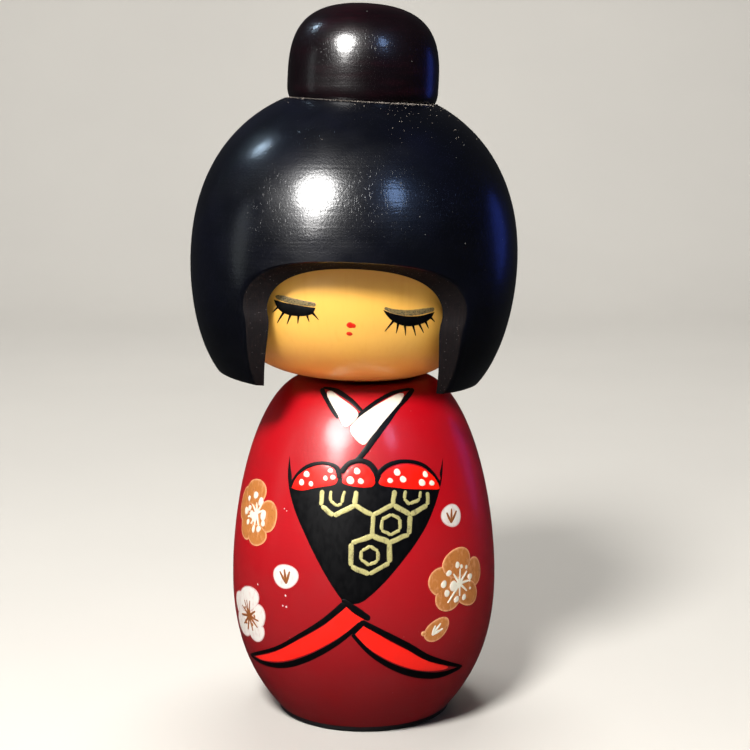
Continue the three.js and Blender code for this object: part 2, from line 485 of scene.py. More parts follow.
def make_hair(lacquer, sawn, inside_paint):
    """The hair shell: lacquered outside, sawn opening, painted hollow."""
    bm = bmesh.new()
    outer = Skin(cap_outside(), setback=LIP)
    outer_edge = Skin(cap_outside(), inset=LIP)
    inner = Skin(cap_inside())
    outer_loop, outer_top = make_skin(bm, outer, LIP, 0)
    inner_loop, inner_top = make_skin(bm, inner, 0.0, 2)

    edge_cut, inner_cut = sawn_samples(outer_edge), sawn_samples(inner)
    cut_count = len(edge_cut)
    rim_radius = CAP_RIM[0] - LIP
    rows = [outer_loop]
    for step in range(SAWN_STEPS):
        share = step / SAWN_STEPS
        row = []
        for (x0, h0), (x1, h1) in zip(edge_cut, inner_cut):
            height = h0 + (h1 - h0) * share
            x = x0 + (x1 - x0) * share
            row.append(bm.verts.new((x, -window_depth(height), height)))
        for outer_vertex, inner_vertex in zip(outer_loop[cut_count:], inner_loop[cut_count:]):
            edge = at_angle(rim_radius, angle_of(outer_vertex), 0)
            row.append(bm.verts.new(edge.lerp(inner_vertex.co, share)))
        rows.append(row)
    rows.append(inner_loop)
    grid_faces(bm, rows[:2], 0, closed=True)
    grid_faces(bm, rows[1:], closed=True, material_at=lambda n: 1 if n and n < cut_count else 0)

    seat = [outer_top]
    for radius, height in ((CROWN_BORE, CAP_SEAT[1]), (CROWN_BORE, CAP_CEILING[1])):
        seat.append([bm.verts.new(at_angle(radius, angle_of(vertex), height)) for vertex in outer_top])
    grid_faces(bm, seat + [inner_top], 0, closed=True)
    bm.transform(Matrix.Rotation(WINDOW_TURN, 4, "Z"))
    return to_object("hair_shell", bm, head_frame(), [lacquer, sawn, inside_paint])


# ---------------------------------------------------------------- paint films and strokes

FILM_DEPTH = 0.06  # a film reaches this far into the wood, so that no gap shows
FILM_FOOT = 0.02  # height of a film's edge
FILM_SHOULDER = 0.35  # distance from the edge to full height
FILM_GRID = 0.8
LATTICE_GAP = 0.4  # least share of a grid step between a film's edge and its inner points
EDGE_STEP = 0.45
STROKE_STEP = 0.5
STROKE_SECTION = ((-1.0, 0.0), (-0.8, 0.65), (-0.4, 0.92), (0.0, 1.0), (0.4, 0.92), (0.8, 0.65), (1.0, 0.0))
END_SHARES = (0.04, 0.15, 0.35, 0.65)  # where a stroke's round end has marks, in half widths
NARROWEST = 0.12  # of the full width, at a stroke's very end
DAB_SHARES = (1.0, 0.92, 0.75, 0.5, 0.25)  # rings of a dab, from its edge inward
DAB_SIDES = 14  # per millimetre of radius
LEAST_DAB_SIDES = 12


def new_paint():
    """A bmesh whose points know how far inward from a brush mark's edge they lie."""
    bm = bmesh.new()
    bm.verts.layers.float.new("inward")
    return bm


def resampled(points, step, closed=False):
    """Straight runs through the points, cut to about one step each."""
    ends = points[1:] + points[:1] if closed else points[1:]
    result = []
    for start, end in zip(points, ends):
        pieces = max(1, math.ceil((end - start).length / step))
        result += [start.lerp(end, k / pieces) for k in range(pieces)]
    if not closed:
        result.append(points[-1].copy())
    return result


def smoothed(points, closed=False, steps=4):
    """A curve through the points. A point given twice stays a sharp corner."""
    count = len(points)
    curve = []
    for k in range(count if closed else count - 1):
        start, end = points[k], points[(k + 1) % count]
        if (end - start).length < 1e-9:
            continue
        before = points[k - 1] if k or closed else start
        after = points[(k + 2) % count] if k + 2 < count or closed else end
        leave, arrive = (end - before) / 2, (after - start) / 2
        for step in range(steps):
            t = step / steps
            curve.append(start * (2 * t ** 3 - 3 * t ** 2 + 1) + leave * (t ** 3 - 2 * t ** 2 + t)
                         + end * (3 * t ** 2 - 2 * t ** 3) + arrive * (t ** 3 - t ** 2))
    if not closed:
        curve.append(points[-1].copy())
    return curve


def edge_distance(point, edge):
    """Distance from a point to a closed loop of closely spaced points."""
    best = 1e9
    for start, end in zip(edge, edge[1:] + edge[:1]):
        run = end - start
        share = max(0.0, min(1.0, (point - start).dot(run) / max(run.length_squared, 1e-12)))
        best = min(best, (point - start - run * share).length)
    return best


def is_inside(point, edge):
    inside = False
    for start, end in zip(edge, edge[1:] + edge[:1]):
        if (start.y > point.y) != (end.y > point.y):
            crossing = start.x + (end.x - start.x) * (point.y - start.y) / (end.y - start.y)
            inside ^= point.x < crossing
    return inside


def film(bm, surface, outline, lift, base=0.0, grid=FILM_GRID):
    """Adds a closed film of paint over a loop of wrapped points.

    Its edge stands at base, so that it shows on top of earlier paint; it is lift thick.
    """
    edge = resampled(outline, min(EDGE_STEP, grid), closed=True)
    left, right = min(p.x for p in edge), max(p.x for p in edge)
    bottom, top = min(p.y for p in edge), max(p.y for p in edge)
    lattice = []
    for row in range(int((top - bottom) / grid) + 1):
        for column in range(int((right - left) / grid) + 1):
            spot = Vector((left + (column + 0.5 * (row % 2)) * grid, bottom + (row + 0.5) * grid))
            if is_inside(spot, edge) and edge_distance(spot, edge) > LATTICE_GAP * grid:
                lattice.append(spot)
    loop = [list(range(len(edge)))]
    points, _, triangles, *_ = delaunay_2d_cdt(edge + lattice, [], loop, 1, 1e-4)
    inward = bm.verts.layers.float["inward"]
    tops, floors = [], []
    for spot in points:
        depth = edge_distance(spot, edge)
        rise = base + lift * min(1.0, depth / FILM_SHOULDER)
        tops.append(bm.verts.new(surface.at(spot, FILM_FOOT + rise)))
        tops[-1][inward] = min(1.0, depth)
        floors.append(bm.verts.new(surface.at(spot, -FILM_DEPTH)))
    open_edges = {}
    for corners in triangles:
        bm.faces.new([tops[k] for k in corners])
        bm.faces.new([floors[k] for k in reversed(corners)])
        for a, b in zip(corners, corners[1:] + corners[:1]):
            if (b, a) in open_edges:
                del open_edges[(b, a)]
            else:
                open_edges[(a, b)] = True
    for a, b in open_edges:
        bm.faces.new((tops[b], tops[a], floors[a], floors[b]))


def stroke(bm, surface, points, widths, lift, base=0.0):
    """Adds a domed brush stroke with round ends along wrapped points, one width for each."""
    line = [Vector((p.x, p.y, w)) for p, w in zip(points, widths)]
    line, places = round_ends(resampled(line, STROKE_STEP), surface)
    count = len(places)
    inward = bm.verts.layers.float["inward"]
    rings = []
    for k, (mark, place) in enumerate(zip(line, places)):
        before = places[k - 1] if k else place
        after = places[k + 1] if k < count - 1 else place
        normal = surface.normal(mark)
        side, stretch = mitre(place - before, after - place, normal)
        half = mark.z / 2 * stretch
        ring = []
        for across, up in STROKE_SECTION:
            vertex = bm.verts.new(place + side * half * across + normal * (FILM_FOOT + base + lift * up))
            vertex[inward] = 1 - abs(across)
            ring.append(vertex)
        for across in (1, -1):
            ring.append(bm.verts.new(place + side * half * across - normal * FILM_DEPTH))
        rings.append(ring)
    grid_faces(bm, rings, closed=True)
    bm.faces.new(rings[0])
    bm.faces.new(rings[-1])


def round_ends(line, surface):
    """Narrows both ends of a stroke along half circles. Returns its marks and places."""
    places = [surface.at(mark) for mark in line]
    lengths = [0.0]
    for start, end in zip(places, places[1:]):
        lengths.append(lengths[-1] + (end - start).length)
    total = lengths[-1]
    marks = set(lengths)
    for share in END_SHARES:
        marks.add(min(total / 2, line[0].z / 2 * share))
        marks.add(max(total / 2, total - line[-1].z / 2 * share))
    new_line, new_places = [], []
    for mark in sorted(marks):
        i = min(max(bisect.bisect(lengths, mark), 1), len(lengths) - 1)
        share = (mark - lengths[i - 1]) / max(lengths[i] - lengths[i - 1], 1e-9)
        spot = line[i - 1].lerp(line[i], share)
        for end_distance, end_width in ((mark, line[0].z), (total - mark, line[-1].z)):
            part = min(1.0, end_distance / (end_width / 2))
            spot.z *= max(NARROWEST, math.sqrt(1 - (1 - part) ** 2))
        new_line.append(spot)
        new_places.append(surface.at(spot))
    return new_line, new_places


def mitre(arriving, leaving, normal):
    """The sideways direction at a corner, and how much wider the stroke is there."""
    arriving = arriving if arriving.length > 1e-9 else leaving
    leaving = leaving if leaving.length > 1e-9 else arriving
    first = arriving.cross(normal).normalized()
    second = leaving.cross(normal).normalized()
    side = (first + second).normalized()
    return side, min(2.0, 1 / max(0.3, side.dot(first)))


def dab(bm, surface, centre, radius, lift, rng, base=0.0, squash=1.0, tilt=0.0):
    """Adds one rounded touch of the brush, a little uneven."""
    sides = max(LEAST_DAB_SIDES, int(radius * DAB_SIDES))
    wobble = [1 + rng.uniform(-0.1, 0.1) for _ in range(4)]
    rings = []
    inward = bm.verts.layers.float["inward"]
    for share in DAB_SHARES:
        ring = []
        for k in range(sides):
            turn = 2 * math.pi * k / sides
            bulge = 1 + 0.06 * math.sin(2 * turn + wobble[0] * 9) + 0.04 * math.sin(3 * turn + wobble[1] * 9)
            along = radius * wobble[2] * bulge * share * math.cos(turn)
            up = radius * squash * wobble[3] * bulge * share * math.sin(turn)
            along, up = (along * math.cos(tilt) - up * math.sin(tilt),
                         along * math.sin(tilt) + up * math.cos(tilt))
            rise = FILM_FOOT + base + lift * math.sqrt(max(0.0, 1 - share ** 2))
            ring.append(bm.verts.new(surface.at(surface.beside(centre, along, up), rise)))
            ring[-1][inward] = (1 - share) * radius
        rings.append(ring)
    grid_faces(bm, rings, closed=True)
    top = bm.verts.new(surface.at(centre, FILM_FOOT + base + lift))
    top[inward] = radius
    sink = surface.normal(centre) * (FILM_DEPTH + FILM_FOOT + base)
    foot = [bm.verts.new(vertex.co - sink) for vertex in rings[0]]
    grid_faces(bm, [foot, rings[0]], closed=True)
    bm.faces.new(reversed(foot))
    for k in range(sides):
        bm.faces.new((rings[-1][k], rings[-1][(k + 1) % sides], top))


def oval(surface, centre, half_along, half_up, tilt=0.0, uneven=0.0, steps=36):
    """A loop of wrapped points round an oval, measured on the surface."""
    loop = []
    for k in range(steps):
        turn = 2 * math.pi * k / steps
        swell = 1 + uneven * math.sin(3 * turn + half_along * 5)
        along, up = half_along * swell * math.cos(turn), half_up * swell * math.sin(turn)
        loop.append(surface.beside(centre, along * math.cos(tilt) - up * math.sin(tilt),
                                   along * math.sin(tilt) + up * math.cos(tilt)))
    return loop


def seen_loop(surface, outline):
    """A smooth closed loop on the surface through points seen from the front."""
    return smoothed(surface.seen_all(outline), closed=True)


def brush(bm, surface, outline, widths, lift, base=0.0):
    """A stroke whose line and width both flow through the given points."""
    marks = [Vector((*surface.seen(x, height), width * BRUSH_SPREAD))
             for (x, height), width in zip(outline, widths)]
    marks = smoothed(marks)
    stroke(bm, surface, [mark.xy for mark in marks], [mark.z for mark in marks], lift, base)


def flick(bm, surface, root, tip, widths, lift, base=0.0):
    """A short stroke with a width at its root, its middle and its tip."""
    stroke(bm, surface, [root, root.lerp(tip, 0.5), tip], widths, lift, base)


def painted(name, bm, surface, material, body):
    """Finishes a piece of paint and lets it ride on its body."""
    piece = to_object(name, bm, surface.to_row, [material], PAINT_SHARP)
    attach(piece, body)


def outlined(names, fields, strokes, paint, black, field_layer, stroke_layer):
    """Two pieces on the body: filled fields, and the black strokes around them.

    A layer is (thickness, base).
    """
    filled, lines = new_paint(), new_paint()
    for outline in fields:
        film(filled, ON_BODY, seen_loop(ON_BODY, outline), *field_layer)
    for outline, widths in strokes:
        brush(lines, ON_BODY, outline, widths, *stroke_layer)
    painted(names[0], filled, ON_BODY, paint, "body")
    painted(names[1], lines, ON_BODY, black, "body")


# ---------------------------------------------------------------- kimono motifs
# Each point is (across from the front, height), in millimetres. A layer's base stands on
# the layers that were painted before it.
#
# The places in these tables, in the blossoms' and in the eyes' were not drawn from sizes
# and formulas. A program converted them from points in the photograph, and many were
# then shifted by some tenths. That is a fault of these tables.

GROUND = 0.07  # thickness of a first film
LINE = 0.07
DETAIL = 0.06
DAB = 0.1
BRUSH_SPREAD = 1.3  # a loaded brush spreads past its line

COLLAR_WHITES = (
    [(-8.9, 85.4), (-8.2, 85.9), (-7.0, 85.6), (-3.2, 83.4), (-1.2, 81.6), (-1.9, 80.0),
     (-4.4, 78.5), (-6.1, 81.0), (-7.8, 83.4)],
    [(9.9, 85.2), (8.3, 85.3), (5.3, 84.2), (1.9, 82.5), (-1.5, 80.2), (-3.1, 77.7), (-0.1, 74.5),
     (2.2, 76.5), (4.8, 79.4), (7.4, 82.0), (9.4, 84.0)],
)
COLLAR_LINES = (
    ([(-10.2, 86.3), (-8.8, 84.2), (-6.9, 81.4), (-6.1, 80.2)], (0.9, 1.0, 0.8, 0.4)),
    ([(-9.8, 86.5), (-6.5, 86.1), (-3.0, 84.3), (-0.3, 82.0)], (0.6, 1.1, 0.9, 0.7)),
    ([(11.6, 86.1), (7.6, 85.7), (3.7, 84.2), (0.4, 82.1), (-1.6, 80.6)], (0.7, 0.9, 0.8, 0.8, 0.5)),
    ([(12.2, 86.1), (8.6, 82.9), (5.4, 79.2), (2.8, 76.0), (0.4, 72.9), (-1.6, 70.9), (-4.2, 69.9)],
     (0.9, 1.1, 1.2, 1.2, 1.1, 0.9, 0.6)),
)

OBI_PANEL = (
    (-17.9, 70.8), (-17.9, 70.8), (-18.3, 67.5), (-18.2, 64.6), (-17.6, 61.6), (-16.2, 57.5),
    (-14.3, 53.5), (-11.9, 48.8), (-9.0, 43.6), (-5.9, 38.9), (-4.2, 37.2), (-1.9, 36.9), (0.7, 38.0),
    (4.8, 41.7), (8.7, 46.0), (12.3, 50.4), (15.2, 54.6), (17.3, 59.0), (18.6, 62.8), (19.3, 66.0),
    (19.5, 70.0), (19.5, 70.0), (18.7, 66.8), (18.2, 64.8), (9.5, 66.0), (3.0, 67.6), (-4.0, 67.0),
    (-10.5, 66.0), (-16.6, 64.8), (-17.4, 66.8),
)

PUFFS = (
    [(-17.2, 63.7), (-17.0, 63.4), (-14.8, 63.2), (-11.3, 64.2), (-7.6, 65.0), (-6.3, 65.7), (-6.0, 67.3),
     (-6.7, 68.9), (-8.3, 69.6), (-10.9, 69.4), (-13.7, 68.2), (-16.0, 66.2)],
    [(-5.0, 66.2), (-3.8, 68.6), (-1.4, 70.1), (1.1, 69.4), (2.9, 67.2), (2.7, 65.4), (1.6, 64.8),
     (-0.8, 64.8), (-4.0, 65.3)],
    [(3.8, 66.0), (5.2, 68.2), (8.0, 69.5), (10.9, 69.6), (14.1, 68.6), (17.0, 66.3), (18.5, 63.7),
     (18.2, 63.0), (15.5, 63.4), (11.3, 63.9), (7.2, 64.6), (4.6, 65.1)],
)
PUFF_LINES = (
    ([(-17.2, 64.9), (-15.7, 67.0), (-13.2, 69.0), (-10.4, 69.9), (-7.9, 69.8), (-6.2, 68.9),
      (-5.7, 66.6)], (0.5, 0.7, 0.8, 0.7, 0.8, 1.0, 1.1)),
    ([(-5.3, 68.0), (-3.4, 70.2), (-0.8, 70.9), (1.4, 70.3), (3.0, 68.4), (3.4, 65.9)],
     (1.1, 0.9, 0.9, 1.0, 1.1, 1.2)),
    ([(3.2, 67.4), (5.4, 69.4), (7.9, 70.3), (10.3, 70.4), (12.7, 69.9), (15.0, 68.8), (17.0, 66.8),
      (18.6, 64.3)], (1.0, 0.9, 0.8, 0.7, 0.7, 0.7, 0.7, 0.6)),
)
PUFF_DOTS = (
    (-13.6, 67.1, 0.8), (-14.8, 65.1, 0.82), (-12.5, 65.0, 0.72), (-7.8, 68.4, 0.66),
    (-9.0, 66.6, 0.62), (-7.2, 66.9, 0.7), (-1.4, 68.5, 0.9), (-3.0, 66.4, 0.98), (-0.5, 66.2, 0.78),
    (8.2, 68.0, 0.85), (6.5, 66.2, 0.75), (9.6, 66.3, 0.85), (15.0, 66.9, 0.85), (14.2, 65.1, 0.9),
    (16.6, 64.7, 0.75),
)

GOLD_OUTER = 1.25
GOLD_INNER = 0.85
GOLD_LOOPS = (
    [(2.4, 58.3), (7.3, 60.5), (11.4, 57.9), (11.0, 53.3), (6.3, 51.7), (2.2, 53.5)],
    [(-2.7, 51.6), (2.2, 53.5), (6.3, 51.7), (6.4, 46.9), (1.5, 44.2), (-2.9, 46.2)],
)
GOLD_OPEN = (
    [(-9.7, 63.9), (-10.1, 60.1), (-6.9, 58.0), (-1.9, 60.6), (-1.7, 63.9)],
    [(-1.9, 60.6), (2.4, 58.3)],
    [(7.5, 63.9), (7.3, 60.5)],
    [(11.4, 57.9), (15.6, 59.7), (15.6, 62.8)],
)
GOLD_INNER_OPEN = (
    [(-7.6, 63.8), (-7.8, 61.4), (-6.1, 60.3), (-5.0, 61.0), (-4.4, 63.8)],
    [(10.2, 63.6), (9.9, 61.7), (11.4, 60.4), (13.7, 61.4), (13.9, 63.1)],
)
GOLD_INNER_CENTRES = ((6.7, 55.9, 2.5), (1.6, 48.7, 2.3))  # across, height, radius
GOLD_INNER_TURN = 88  # degrees to the first corner
GOLD_SHARES = (0.0, 0.3, 0.65, 1.0)  # marks along one side
GOLD_WOBBLE = 0.12

HEM_STRIPS = (
    [(-3.9, 36.3), (-9.0, 31.5), (-15.1, 27.0), (-21.8, 21.8), (-26.6, 18.4), (-27.0, 17.8),
     (-24.7, 18.0), (-19.8, 19.7), (-13.9, 22.9), (-7.5, 27.1), (-2.4, 31.0), (0.2, 33.3)],
    [(0.3, 31.8), (5.3, 28.1), (10.9, 24.5), (16.7, 20.4), (20.8, 17.9), (20.4, 17.2), (17.6, 17.5),
     (12.9, 18.8), (7.3, 21.5), (1.7, 25.3), (-1.9, 29.2)],
)
HEM_LINES = (
    ([(-4.3, 37.0), (-9.4, 32.3), (-15.4, 27.7), (-21.8, 22.6), (-28.6, 17.1)], (1.3, 1.1, 0.9, 0.8, 0.6)),
    ([(-0.4, 32.3), (-6.0, 27.2), (-13.2, 22.1), (-19.8, 18.5), (-25.4, 17.0), (-28.4, 17.0)],
     (0.8, 1.0, 1.2, 1.2, 0.9, 0.6)),
    ([(-5.0, 37.9), (-1.6, 35.3), (1.7, 33.1)], (0.8, 1.4, 1.0)),
    ([(-0.6, 32.6), (5.3, 29.2), (10.9, 25.6), (16.6, 21.2), (24.6, 16.1)], (1.0, 1.2, 1.3, 1.2, 0.6)),
    ([(0.2, 32.6), (-2.6, 29.4)], (1.1, 0.9)),
    ([(-2.6, 29.3), (1.7, 24.4), (7.3, 20.3), (13.0, 17.5), (18.8, 15.9), (24.3, 16.0)],
     (0.7, 0.9, 1.2, 1.5, 1.4, 0.7)),
)


def make_collar(paints):
    outlined(("collar_white", "collar_lines"), COLLAR_WHITES, COLLAR_LINES, paints["cream"],
             paints["black"], field_layer=(DETAIL, LINE), stroke_layer=(LINE, 0.0))


def make_obi(paints):
    panel = new_paint()
    film(panel, ON_BODY, seen_loop(ON_BODY, OBI_PANEL), GROUND)
    painted("obi_panel", panel, ON_BODY, paints["black"], "body")
    gold, rng = new_paint(), random.Random(3)
    for outline in [*(loop + loop[:1] for loop in GOLD_LOOPS), *GOLD_OPEN]:
        gold_sides(gold, outline, GOLD_OUTER, rng)
    for outline in GOLD_INNER_OPEN:
        gold_sides(gold, outline, GOLD_INNER, rng)
    for x, height, radius in GOLD_INNER_CENTRES:
        turns = [math.radians(60 * k + GOLD_INNER_TURN) for k in range(7)]
        corners = [(x + radius * math.cos(turn), height + radius * math.sin(turn)) for turn in turns]
        gold_sides(gold, corners, GOLD_INNER, rng)
    painted("obi_hexagons", gold, ON_BODY, paints["gold"], "body")


def gold_sides(bm, outline, width, rng):
    """One uneven stroke for each straight side, overlapping at the corners."""
    for start, end in zip(outline, outline[1:]):
        points, widths = [], []
        for share in GOLD_SHARES:
            x = start[0] + (end[0] - start[0]) * share + rng.uniform(-GOLD_WOBBLE, GOLD_WOBBLE)
            height = start[1] + (end[1] - start[1]) * share + rng.uniform(-GOLD_WOBBLE, GOLD_WOBBLE)
            points.append(ON_BODY.seen(x, height))
            widths.append(width * rng.uniform(0.85, 1.12))
        stroke(bm, ON_BODY, points, widths, DETAIL, base=GROUND)


def make_scarf(paints):
    outlined(("scarf_puffs", "scarf_outlines"), PUFFS, PUFF_LINES, paints["scarlet"],
             paints["black"], field_layer=(DETAIL, GROUND + LINE / 2), stroke_layer=(LINE, GROUND))
    dots, rng = new_paint(), random.Random(11)
    for x, height, radius in PUFF_DOTS:
        dab(dots, ON_BODY, ON_BODY.seen(x, height), radius, DAB, rng, base=GROUND + DETAIL)
    painted("scarf_dots", dots, ON_BODY, paints["cream"], "body")


def make_hem(paints):
    outlined(("hem_strips", "hem_lines"), HEM_STRIPS, HEM_LINES, paints["scarlet"],
             paints["black"], field_layer=(GROUND, 0.0), stroke_layer=(LINE, GROUND))


# ---------------------------------------------------------------- blossoms
# Petals are (along, up, half along, half up, tilt in degrees) from the flower's centre,
# painted in order; dabs are (along, up, radius); strokes end at (along, up).

FLOWERS = {
    "upper_left": {
        "angle": -55.1, "height": 55.5, "petal": "tan", "mark": "cream",
        "petals": ((-7.6, 0.8, 3.2, 4.3, 0), (-4.6, -4.0, 3.4, 3.5, 10), (0.9, -5.2, 4.1, 2.7, 8),
                   (4.4, 0.1, 3.5, 3.9, 0), (-2.2, 4.8, 4.9, 3.3, 6)),
        "dabs": ((-1.6, 4.2, 1.1), (-4.8, 2.8, 0.75), (1.1, 3.1, 1.0), (-5.6, -0.5, 0.95),
                 (-3.9, 0.5, 0.75), (-0.9, -1.0, 1.3), (2.9, 0.0, 1.25), (-3.8, -2.9, 0.8),
                 (3.2, -1.9, 0.8), (-0.6, -4.0, 0.9), (1.6, -3.6, 0.9), (-2.4, -0.7, 0.95)),
        "strokes": ((-2.6, 1.8), (-0.6, 2.6), (1.6, 2.4), (-0.3, -3.1), (-2.1, -3.0), (1.5, -2.8),
                    (2.8, 1.3), (-4.2, -1.7)),
    },
    "lower_left": {
        "angle": -57.5, "height": 29.2, "petal": "white", "mark": "bronze",
        "petals": ((-5.9, 1.8, 4.0, 3.1, 27), (-4.2, -2.8, 4.9, 3.7, 27), (2.2, -3.6, 4.0, 2.7, 22),
                   (4.2, 1.0, 3.2, 2.7, 67), (-0.5, 4.2, 5.5, 3.2, 24)),
        "dabs": ((-2.1, 1.6, 0.45), (-2.2, -2.3, 0.5), (1.0, -2.1, 0.45), (2.5, 0.5, 0.45)),
        "strokes": ((-2.3, 3.6), (0.7, 4.1), (-1.0, 3.9), (-3.9, 1.8), (-4.6, -0.8), (-3.6, -3.0),
                    (-1.8, -4.1), (0.9, -3.8), (3.4, -2.3), (4.2, -0.4), (3.0, 1.9)),
    },
    "right": {
        "angle": 44.2, "height": 39.3, "petal": "tan", "mark": "cream",
        "petals": ((5.9, 1.7, 3.4, 3.7, 10), (-6.0, 1.5, 3.5, 3.6, -8), (-3.8, -3.2, 4.0, 3.1, -12),
                   (3.0, -3.0, 4.4, 3.2, -24), (-0.3, 5.2, 4.9, 3.7, 8)),
        "dabs": ((-0.5, 4.7, 0.85), (0.9, 4.1, 0.55), (-3.4, 3.2, 0.9), (-5.1, 0.7, 0.9),
                 (-2.0, -0.3, 1.2), (-4.2, -1.7, 0.85), (-1.1, -3.8, 0.75), (1.6, -3.8, 0.7),
                 (4.1, 0.9, 0.95), (4.0, -2.0, 0.45), (3.9, -0.1, 0.4), (2.7, 3.6, 0.5)),
        "strokes": ((-2.0, 2.8), (0.4, 3.7), (2.9, 2.5), (3.4, 0.0), (2.7, -2.4), (0.0, -3.2),
                    (-4.0, -4.2), (-2.8, 0.2)),
    },
}

PETALS = {
    "left": {
        "angle": -34.3, "height": 42.1, "half": (3.9, 3.0), "tilt": 10, "petal": "white",
        "mark": "bronze", "root": (0.4, -1.8),
        "veins": ((-1.7, 1.0), (-0.3, 1.7), (1.3, 1.4)),
    },
    "right": {
        "angle": 42.7, "height": 56.2, "half": (3.4, 2.8), "tilt": -8, "petal": "white",
        "mark": "bronze", "root": (-0.5, -1.7),
        "veins": ((-1.6, 1.0), (0.2, 1.7), (1.8, 0.9)),
    },
    "lower_right": {
        "angle": 32.5, "height": 28.8, "half": (3.9, 2.7), "tilt": 28, "petal": "tan",
        "mark": "cream", "root": (-1.4, -1.2),
        "veins": ((-0.6, 1.2), (1.0, 1.5), (1.7, 0.0)),
    },
}

PETAL_STEP = 0.03  # each petal lies this much higher than the one before
HEART = (3.6, 3.0)  # ground under the stamens, where petals may leave a gap
STAMEN_WIDTHS = (0.85, 0.6, 0.45)
VEIN_WIDTHS = (0.45, 0.75, 0.45)


def make_flower(name, flower, paints):
    """A plum blossom: overlapping petals, then a star of strokes and dabs for its heart."""
    rng = random.Random(name)
    centre = ON_BODY.from_angle(flower["angle"], flower["height"])
    petals, heart = new_paint(), new_paint()
    for order, (along, up, half_along, half_up, tilt) in enumerate(flower["petals"]):
        middle = ON_BODY.beside(centre, along, up)
        loop = oval(ON_BODY, middle, half_along, half_up, math.radians(tilt), uneven=0.025)
        film(petals, ON_BODY, loop, DETAIL, base=PETAL_STEP * order)
    top = PETAL_STEP * len(flower["petals"])
    film(petals, ON_BODY, oval(ON_BODY, centre, *HEART), DETAIL)
    for along, up in flower["strokes"]:
        flick(heart, ON_BODY, centre, ON_BODY.beside(centre, along, up), STAMEN_WIDTHS, LINE, top)
    for along, up, radius in flower["dabs"]:
        dab(heart, ON_BODY, ON_BODY.beside(centre, along, up), radius, DAB, rng, base=top,
            squash=rng.uniform(0.8, 1.15), tilt=rng.uniform(0, math.pi))
    painted(f"blossom_{name}", petals, ON_BODY, paints[flower["petal"]], "body")
    painted(f"blossom_{name}_heart", heart, ON_BODY, paints[flower["mark"]], "body")


def make_petal(name, petal, paints):
    """A loose petal with a few veins that fan out from its root."""
    centre = ON_BODY.from_angle(petal["angle"], petal["height"])
    ground, veins = new_paint(), new_paint()
    loop = oval(ON_BODY, centre, *petal["half"], math.radians(petal["tilt"]), uneven=0.03)
    film(ground, ON_BODY, loop, GROUND)
    root = ON_BODY.beside(centre, *petal["root"])
    for along, up in petal["veins"]:
        flick(veins, ON_BODY, root, ON_BODY.beside(centre, along, up), VEIN_WIDTHS, DETAIL, GROUND)
    painted(f"petal_{name}", ground, ON_BODY, paints[petal["petal"]], "body")
    painted(f"petal_{name}_veins", veins, ON_BODY, paints[petal["mark"]], "body")


# ---------------------------------------------------------------- face
# Each point is (across, height) in the head's frame.

EYES = {
    "left": {
        "lid": ([(-17.9, 22.3), (-16.0, 22.0), (-13.0, 21.6), (-8.2, 21.3)], (0.6, 1.1, 1.1, 0.8)),
        "lash_line": [(-18.3, 21.5), (-18.3, 21.5), (-15.6, 21.1), (-12.0, 20.8), (-8.2, 20.6),
                      (-8.2, 20.6), (-8.9, 19.2), (-10.4, 18.5), (-12.8, 18.2), (-15.3, 18.4),
                      (-17.2, 19.5)],
        "lashes": (((-17.0, 20.1), (-18.5, 18.4)), ((-15.7, 18.9), (-17.3, 15.9)),
                   ((-14.0, 18.7), (-14.9, 15.9)), ((-12.2, 18.6), (-12.3, 16.4)),
                   ((-10.3, 19.0), (-9.6, 17.1)), ((-9.0, 19.5), (-7.4, 17.8))),
    },
    "right": {
        "lid": ([(7.9, 21.4), (10.4, 20.6), (13.8, 20.3), (17.0, 20.6), (19.8, 21.1)],
                (0.5, 0.9, 1.1, 1.1, 0.7)),
        "lash_line": [(7.6, 21.0), (7.6, 21.0), (10.0, 20.1), (13.3, 19.5), (16.6, 19.6), (19.9, 20.4),
                      (19.9, 20.4), (19.0, 18.8), (16.6, 17.5), (13.2, 17.1), (10.2, 18.2), (8.5, 19.7)],
        "lashes": (((10.4, 18.7), (8.3, 15.8)), ((11.4, 18.1), (11.0, 15.3)),
                   ((12.9, 17.8), (13.3, 14.8)), ((14.7, 17.8), (15.7, 14.7)),
                   ((16.2, 17.9), (17.6, 15.3)), ((17.7, 18.5), (18.7, 16.4)),
                   ((18.8, 19.4), (20.1, 18.0))),
    },
}
LASH_WIDTHS = (0.7, 0.42, 0.16)
LASH_GRID = 0.5
LIP_DABS = ((0.1, 17.0, 0.85, 0.8), (0.85, 16.9, 0.65, 0.9), (0.0, 14.9, 0.7, 0.75))


def make_face(paints):
    rng = random.Random(5)
    lids, lashes, lips = new_paint(), new_paint(), new_paint()
    for eye in EYES.values():
        brush(lids, ON_HEAD, *eye["lid"], DETAIL)
        outline = seen_loop(ON_HEAD, eye["lash_line"])
        film(lashes, ON_HEAD, outline, DETAIL, base=DETAIL / 2, grid=LASH_GRID)
        for root, tip in eye["lashes"]:
            flick(lashes, ON_HEAD, ON_HEAD.seen(*root), ON_HEAD.seen(*tip), LASH_WIDTHS, DETAIL)
    for x, height, radius, squash in LIP_DABS:
        dab(lips, ON_HEAD, ON_HEAD.seen(x, height), radius, DAB, rng, squash=squash)
    painted("eyelids", lids, ON_HEAD, paints["eyeshadow"], "head")
    painted("eyelashes", lashes, ON_HEAD, paints["black"], "head")
    painted("lips", lips, ON_HEAD, paints["vermilion"], "head")


GLUE_LINE = ((16.2, 0.06), (18.0, 0.06), (18.2, 0.18), (18.0, 0.26), (16.2, 0.26))  # above the seat
DUST_COUNT = 300
DUST_SIZES = (0.08, 0.3)
DUST_BEARING = 30  # degrees from the front, where most of it lies
DUST_SPREAD = 24
STRAY_SPREAD = 70
GROOVE_WIDTH = 1.1
DUST_REACH = 9  # how far below the seat single crumbs lie

